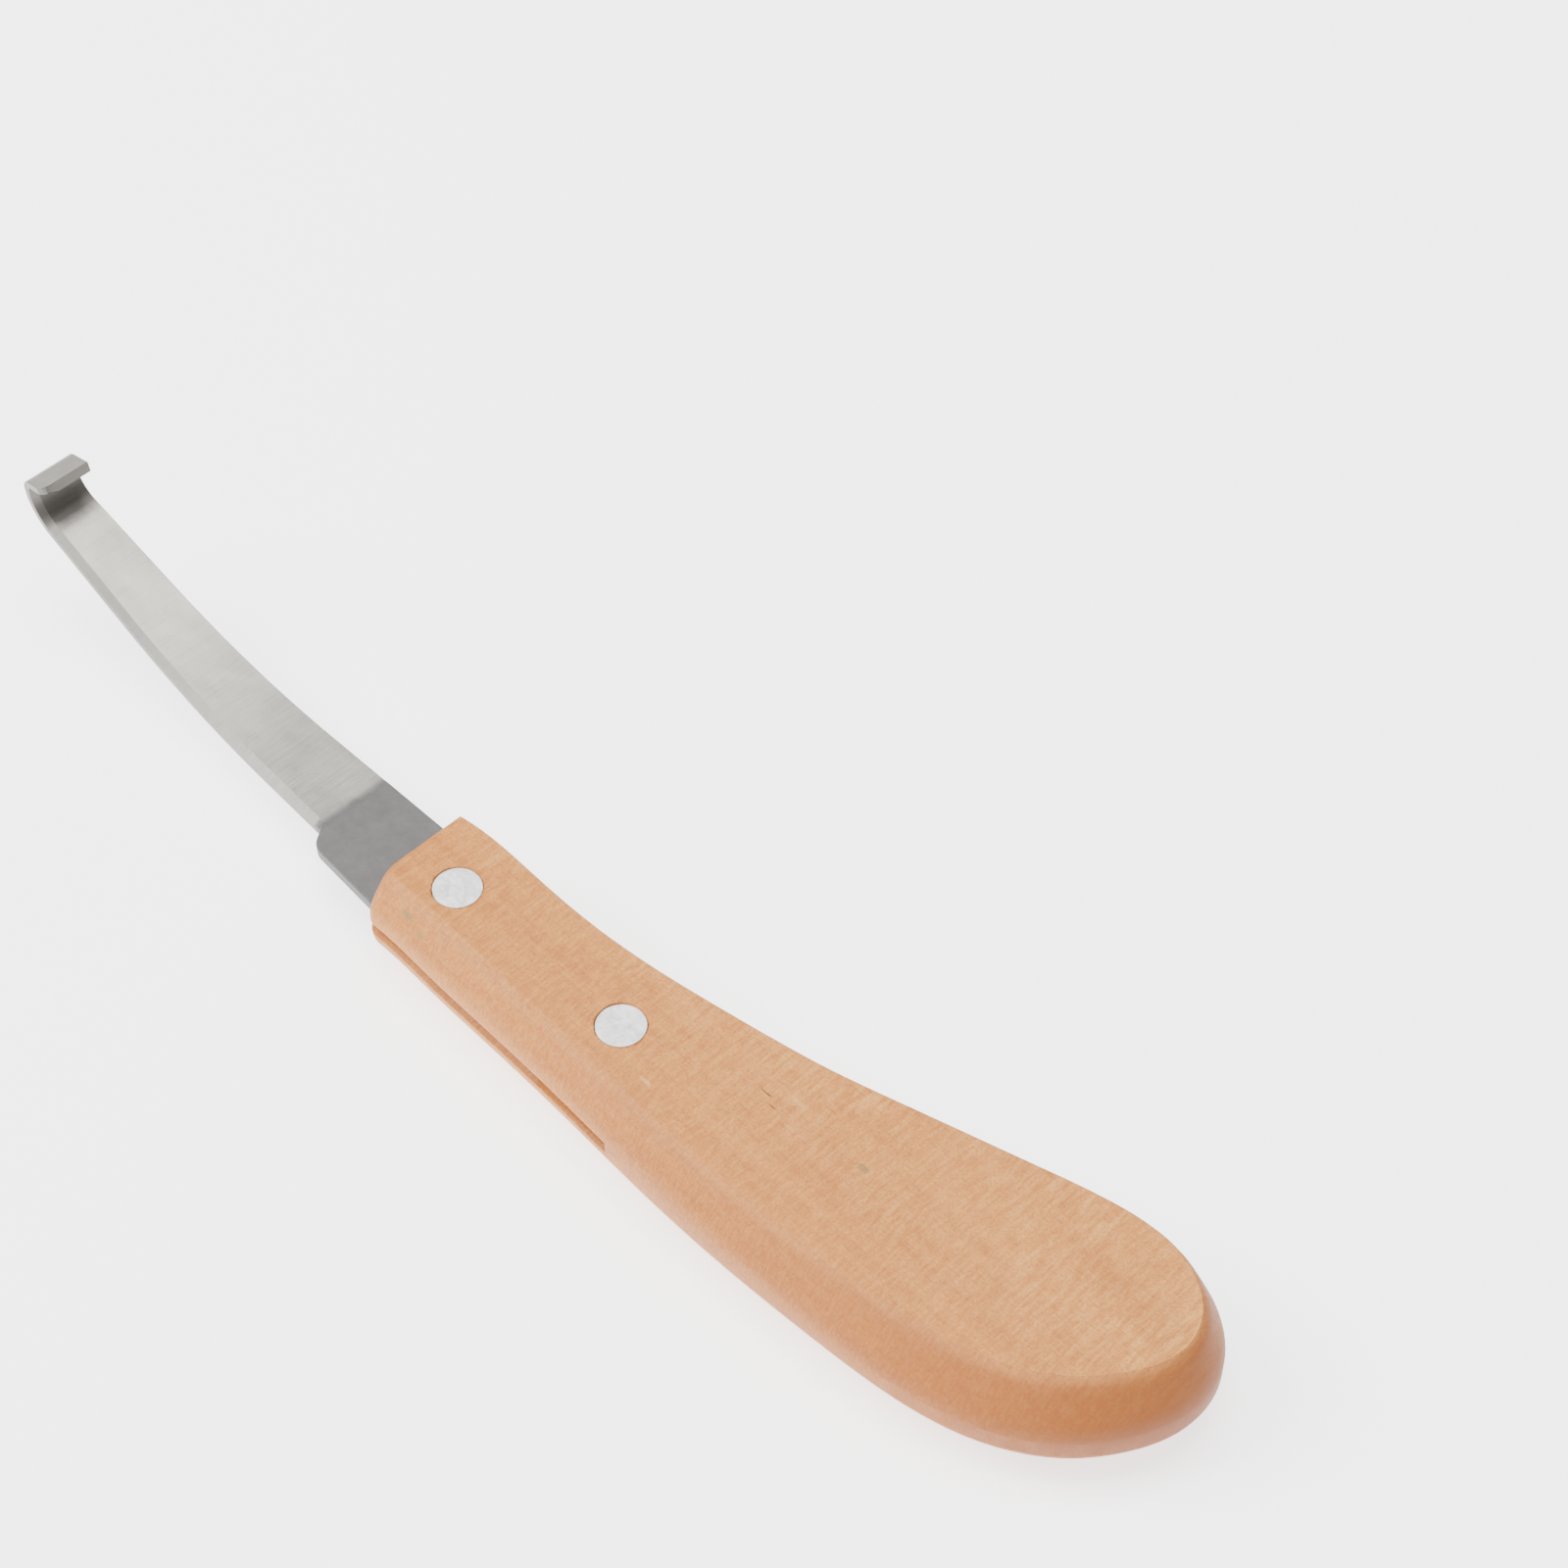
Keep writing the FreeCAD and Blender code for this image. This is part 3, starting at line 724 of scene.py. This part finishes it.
def handle_mesh():
    """Closed skin of the whole handle, before the kerf and the rivet holes."""
    right, fan, left = handle_rays()
    rays = right + fan + left[::-1]
    mesh = bmesh.new()
    rings = side_rings(mesh, rays)
    bridge_rings(mesh, rings, False)
    stations, last = len(right), len(rays) - 1
    front_rows = []
    for ring, dips in ((rings[0], -1), (rings[-1], 1)):
        rows = []
        for index in range(stations + 1):
            rows.append(row_between(mesh, ring[index], ring[last - index], dips))
        bridge_rings(mesh, rows, False)
        front_rows.append(rows[0])
        fill_fan(mesh, ring[stations:last - stations + 1], rows[-1], dips)
    fill_front(mesh, rings, *front_rows)
    return finish_mesh(mesh, "handle_skin", HANDLE_SHARP)


def kerf_cutter(material):
    """Slightly uneven block for the saw kerf."""
    low = knife_point(KERF_END, -CUTTER_REACH, -TANG_THICK / 2)
    high = knife_point(CUTTER_FRONT, CUTTER_REACH, TANG_THICK / 2 + KERF_GAP)
    mesh = bmesh.new()
    bmesh.ops.create_cube(mesh, size=1.0)
    bmesh.ops.subdivide_edges(mesh, edges=mesh.edges, cuts=CUTTER_CUTS, use_grid_fill=True)
    for vertex in mesh.verts:
        share = vertex.co + Vector((0.5, 0.5, 0.5))
        place = Vector(low[axis] + (high[axis] - low[axis]) * share[axis] for axis in range(3))
        rough = unit_noise(place * SAW_SCALE) * SAW_DEEP * MM
        if share.z > 1 - ON_FACE:
            place.z += rough
        if share.z < ON_FACE:
            place.z -= rough
        if share.x < ON_FACE:
            place.x -= rough * 2
        vertex.co = place
    return new_object("kerf_cutter", finish_mesh(mesh, "kerf_cutter", CUTTER_SHARP), material)


def make_handle(wood, shaded_sawn):
    piece = new_object("handle_visual", handle_mesh(), wood)
    cut(piece, kerf_cutter(shaded_sawn))
    thick = TOP / MM
    wide = HEAD_RADIUS + RECESS_GAP
    profile = [
        (wide, -OVERSHOOT),
        (wide, HEAD_DEEP),
        (SHANK_RADIUS, HEAD_DEEP),
        (SHANK_RADIUS, thick - HEAD_DEEP),
        (wide, thick - HEAD_DEEP),
        (wide, thick + OVERSHOOT),
    ]
    for rivet in (REAR_RIVET, FRONT_RIVET):
        cut(piece, lathe("recess_cutter", profile, rivet, shaded_sawn, RECESS_STEPS))
    return piece


# ------------------------------------------------------------------ rivets

RIVET_STEPS = 96
RIM_ROUND = 0.16
RIM_BREAK = 0.3
FACE_RINGS = 12
INNER_RING = 0.5
FACE_MARGIN = 0.02 * MM

# Wear on the heads: scale of the dents' and file marks' noise and their depth.
DENT_SCALE, DENT_DEEP = 700, 0.05
SCRAPE_ALONG, SCRAPE_ACROSS, SCRAPE_DEEP = 300, 2200, 0.02


def head_face(outer_height, inward):
    """Profile of a head's face, from near its middle out over its rim."""
    flat = HEAD_RADIUS - RIM_ROUND
    face = [(flat * (step + 1) / FACE_RINGS, outer_height) for step in range(FACE_RINGS)]
    shoulder = outer_height + inward * RIM_ROUND * RIM_BREAK
    face.append((HEAD_RADIUS - RIM_ROUND * RIM_BREAK, shoulder))
    face.append((HEAD_RADIUS, outer_height + inward * RIM_ROUND))
    return face


def wear_face(piece, level, inward):
    """File and dent a head's face a little, never outwards."""
    for vertex in piece.data.vertices:
        if abs(vertex.co.z - level) < FACE_MARGIN:
            dent = unit_noise(vertex.co * DENT_SCALE)
            scraped = Vector((vertex.co.x * SCRAPE_ALONG, vertex.co.y * SCRAPE_ACROSS, 0))
            scrape = unit_noise(scraped)
            vertex.co.z += inward * (dent * DENT_DEEP + scrape * SCRAPE_DEEP) * MM


def make_rivets(name, place, metal):
    """Both halves of one rivet: a head with a pin above, a head with a socket below."""
    thick = TOP / MM
    shank = SHANK_RADIUS - SHANK_GAP
    socket_top = thick - HEAD_DEEP - SOCKET_SHORT
    male = head_face(thick, -1) + [
        (HEAD_RADIUS, thick - HEAD_DEEP),
        (PIN_RADIUS, thick - HEAD_DEEP),
        (PIN_RADIUS, HEAD_DEEP + PIN_SHORT),
        (PIN_RADIUS * INNER_RING, HEAD_DEEP + PIN_SHORT),
    ]
    female = head_face(0.0, 1) + [
        (HEAD_RADIUS, HEAD_DEEP),
        (shank, HEAD_DEEP),
        (shank, socket_top),
        (BORE_RADIUS, socket_top),
        (BORE_RADIUS, BORE_FLOOR),
        (BORE_RADIUS * INNER_RING, BORE_FLOOR),
    ]
    upper = lathe(f"{name}_male_visual", male, place, metal, RIVET_STEPS)
    lower = lathe(f"{name}_female_visual", female, place, metal, RIVET_STEPS)
    wear_face(upper, TOP, -1)
    wear_face(lower, 0.0, 1)
    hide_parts(f"{name}_male")
    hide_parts(f"{name}_female")
    return [upper, lower]


# ------------------------------------------------------------------ blade

EDGE_BREAK = 0.14
CORNER_SHARE = 0.3
FLAT_STEPS = 14
BEVEL_STEPS = 4
BLADE_SHARP = 14
SHOULDER_TANGENT = 1.64
SHOULDER_STEPS = 12
HOLE_STEPS = 48
HOLE_REACH = 3

# Where the steel thins and the bevel starts, before and past the shoulder.
THIN_FROM, THIN_TO = 0.3, 0.9
BEVEL_FROM, BEVEL_TO = 0.2, 1.6

# Stations along the straight part: up to where, and how far apart.
STRAIGHT_STATIONS = [(SHOULDER - 4, 1.0), (SHOULDER + 2, 0.12), (BEND_START, 0.5)]

# The lip's end has closer stations for its rounded corner, which is only looked for
# among the last stations of the path.
LIP_FINE = 1.6
LIP_STATIONS = 30

# Grinding leaves the blade very slightly uneven in thickness.
GRIND_SWAY = 0.05
SWAY_RUN = 4
SWAY_ALONG, SWAY_ACROSS, SWAY_UP = 0.22, 0.5, 0.2


def left_outline():
    """Left edge of the tang and ricasso as points along the knife, rounded at the shoulder."""
    corner = Vector((SHOULDER - SHOULDER_SLANT, RICASSO_LEFT))
    before = Vector(((HANDLE_FRONT - REAR_RIVET.x) / MM, TANG_LEFT_FRONT))
    foot = Vector((SHOULDER, BLADE_ROOT_LEFT))
    arrive = corner + (before - corner).normalized() * SHOULDER_TANGENT
    leave = corner + (foot - corner).normalized() * SHOULDER_TANGENT
    points = [Vector((TANG_END, TANG_LEFT_REAR)), before]
    for step in range(SHOULDER_STEPS + 1):
        share = step / SHOULDER_STEPS
        first = arrive.lerp(corner, share)
        points.append(first.lerp(corner.lerp(leave, share), share))
    points.append(foot)
    return points


LEFT_OUTLINE = left_outline()


def left_at(along):
    """Left edge of the steel at a place along the knife."""
    if along >= SHOULDER:
        share = (along - SHOULDER) / (BLADE_REACH - SHOULDER)
        return BLADE_ROOT_LEFT + share * (BLADE_TIP_LEFT - BLADE_ROOT_LEFT)
    for first, last in zip(LEFT_OUTLINE, LEFT_OUTLINE[1:]):
        if along <= last.x:
            share = share_between(along, first.x, last.x)
            return first.y + share * (last.y - first.y)
    return BLADE_ROOT_LEFT


def right_at(along):
    """Right edge of the steel at a place along the knife."""
    front = (HANDLE_FRONT - REAR_RIVET.x) / MM
    return TANG_RIGHT if along < front - 1 else RIGHT_SIDE


def blade_path():
    """Middle of the steel seen from the side: along, up and heading at each station."""
    path = []
    along = TANG_END
    for stop, stride in STRAIGHT_STATIONS:
        while along < stop:
            path.append((along, 0.0, 0.0))
            along += stride
    point, heading = (BEND_START, 0.0), 0.0
    path.append((*point, heading))
    upright = math.pi / 2
    # Radius, turn, straight run and number of stations of each part.
    parts = [
        (BEND_RADIUS, BEND_ANGLE, 0.0, 70),
        (0.0, 0.0, STRAIGHT_RUN, 34),
        (HOOK_RADIUS, upright - BEND_ANGLE, 0.0, 40),
        (FOLD_RADIUS, FOLD_ANGLE - upright, 0.0, 24),
        (0.0, 0.0, LIP_RUN - LIP_FINE, 6),
        (0.0, 0.0, LIP_FINE, 18),
    ]
    for radius, turn, run, steps in parts:
        for _ in range(steps):
            length = radius * turn / steps if radius else run / steps
            heading += turn / steps / 2
            point = (point[0] + math.cos(heading) * length, point[1] + math.sin(heading) * length)
            heading += turn / steps / 2
            path.append((*point, heading))
    return path


def lip_cut(path, number):
    """How much the lip's rounded corner takes off the left edge at a station."""
    to_end = (Vector(path[number][:2]) - Vector(path[-1][:2])).length
    if number <= len(path) - LIP_STATIONS or to_end >= LIP_ROUND:
        return 0.0
    return LIP_ROUND - math.sqrt(LIP_ROUND ** 2 - (LIP_ROUND - to_end) ** 2)


def blade_section(along, left_cut):
    """Ring of (across, thickness) points at one station."""
    thinned = share_between(along, SHOULDER - THIN_FROM, SHOULDER + THIN_TO)
    bevelled = share_between(along, SHOULDER - BEVEL_FROM, SHOULDER + BEVEL_TO)
    half = (TANG_THICK + thinned * (BLADE_THICK - TANG_THICK)) / 2
    left, right = left_at(along) - left_cut, right_at(along)
    wide = EDGE_BREAK + bevelled * (BEVEL_WIDE - EDGE_BREAK)
    deep = EDGE_BREAK + bevelled * (BEVEL_DEEP - EDGE_BREAK)
    near, corner = EDGE_BREAK, EDGE_BREAK * CORNER_SHARE
    shares = [step / FLAT_STEPS for step in range(FLAT_STEPS + 1)]
    ring = [(right + near + (left - right - 2 * near) * share, -half) for share in shares]
    ring += [(left - corner, -half + corner), (left, -half + near), (left, half - deep)]
    for step in range(1, BEVEL_STEPS):
        share = step / BEVEL_STEPS
        ring.append((left - wide * share, half - deep * (1 - share)))
    ring += [(left - wide + (right + near - left + wide) * share, half) for share in shares]
    ring += [(right + corner, half - corner), (right, half - near)]
    ring += [(right, -half + near), (right + corner, -half + corner)]
    return ring


def make_blade(steel):
    """The whole steel in one sweep, from the tang's end to the hook's lip."""
    mesh = bmesh.new()
    rings = []
    path = blade_path()
    for number, (along, up, heading) in enumerate(path):
        ring = []
        for across, off in blade_section(along, lip_cut(path, number)):
            sway = unit_noise(Vector((along * SWAY_ALONG, across * SWAY_ACROSS, up * SWAY_UP)))
            off *= 1 - sway * GRIND_SWAY * share_between(along, SHOULDER, SHOULDER + SWAY_RUN)
            place = knife_point(along - math.sin(heading) * off, across, up + math.cos(heading) * off)
            ring.append(mesh.verts.new(place))
        rings.append(ring)
    bridge_rings(mesh, rings, True)
    for ring in (rings[0], rings[-1]):
        mesh.faces.new(ring)
    piece = new_object("blade_visual", finish_mesh(mesh, "blade_visual", BLADE_SHARP), steel)
    half_up = MIDDLE / MM
    profile = [(SHANK_RADIUS, half_up - HOLE_REACH), (SHANK_RADIUS, half_up + HOLE_REACH)]
    for rivet in (REAR_RIVET, FRONT_RIVET):
        cut(piece, lathe("hole_cutter", profile, rivet, steel, HOLE_STEPS))
    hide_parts("blade")
    return piece


# ------------------------------------------------------------------ studio

CAMERA_PLACE = Vector((-0.23126, 0.18262, 0.38819))
CAMERA_FORWARD = Vector((0.46294, -0.44979, -0.76380))
CAMERA_UP = Vector((0.54048, -0.53973, 0.64542))
# Lens and sensor in millimetres.
LENS = 80.0
SENSOR = 36.0
CLIP_START = 0.01
CLIP_END = 20.0
FLOOR_REACH = 3.0
FLOOR_CELLS = 24
FLOOR_DROP = 0.0002
FLOOR_SHARP = 30
WORLD_STRENGTH = 0.6

# Name, place, size and power of each soft light. They all aim at the origin.
LIGHTS = [
    ("key", (0.9, 0.7, 1.1), 1.0, 34.0),
    ("overhead", (0.1, -0.1, 1.6), 1.2, 32.0),
]


def make_floor(paper):
    mesh = bmesh.new()
    bmesh.ops.create_grid(mesh, x_segments=FLOOR_CELLS, y_segments=FLOOR_CELLS, size=FLOOR_REACH)
    for vertex in mesh.verts:
        vertex.co.z = -FLOOR_DROP
    floor = new_object("floor", finish_mesh(mesh, "floor", FLOOR_SHARP), paper)


def make_light(name, place, size, power):
    data = bpy.data.lights.new(name, "AREA")
    data.shape = "DISK"
    data.size = size
    data.energy = power
    light = bpy.data.objects.new(name, data)
    light.location = place
    light.rotation_euler = (-Vector(place)).to_track_quat("-Z", "Y").to_euler()
    bpy.context.scene.collection.objects.link(light)


def make_world(strength):
    world = bpy.data.worlds.new("studio")
    world.use_nodes = True
    background = world.node_tree.nodes["Background"]
    background.inputs["Color"].default_value = (1.0, 1.0, 1.0, 1.0)
    background.inputs["Strength"].default_value = strength
    bpy.context.scene.world = world


def make_camera():
    data = bpy.data.cameras.new("camera")
    data.lens = LENS
    data.sensor_width = SENSOR
    data.clip_start = CLIP_START
    data.clip_end = CLIP_END
    camera = bpy.data.objects.new("camera", data)
    bpy.context.scene.collection.objects.link(camera)
    right = CAMERA_FORWARD.cross(CAMERA_UP).normalized()
    up = right.cross(CAMERA_FORWARD).normalized()
    turn = Matrix((right, up, -CAMERA_FORWARD)).transposed().to_4x4()
    camera.matrix_world = Matrix.Translation(CAMERA_PLACE) @ turn
    bpy.context.scene.camera = camera


# ------------------------------------------------------------------ scene

steel = steel_material()
metal = rivet_material()

handle = make_handle(wood_material(), kerf_shade_material())
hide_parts("handle")
blade = make_blade(steel)
rivets = make_rivets("rivet_rear", REAR_RIVET, metal) + make_rivets("rivet_front", FRONT_RIVET, metal)

for piece, finish in [(handle, "wood"), (blade, "steel")] + [(rivet, "rivet") for rivet in rivets]:
    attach(piece, "root")

make_floor(floor_material())
for light in LIGHTS:
    make_light(*light)
make_world(WORLD_STRENGTH)
make_camera()
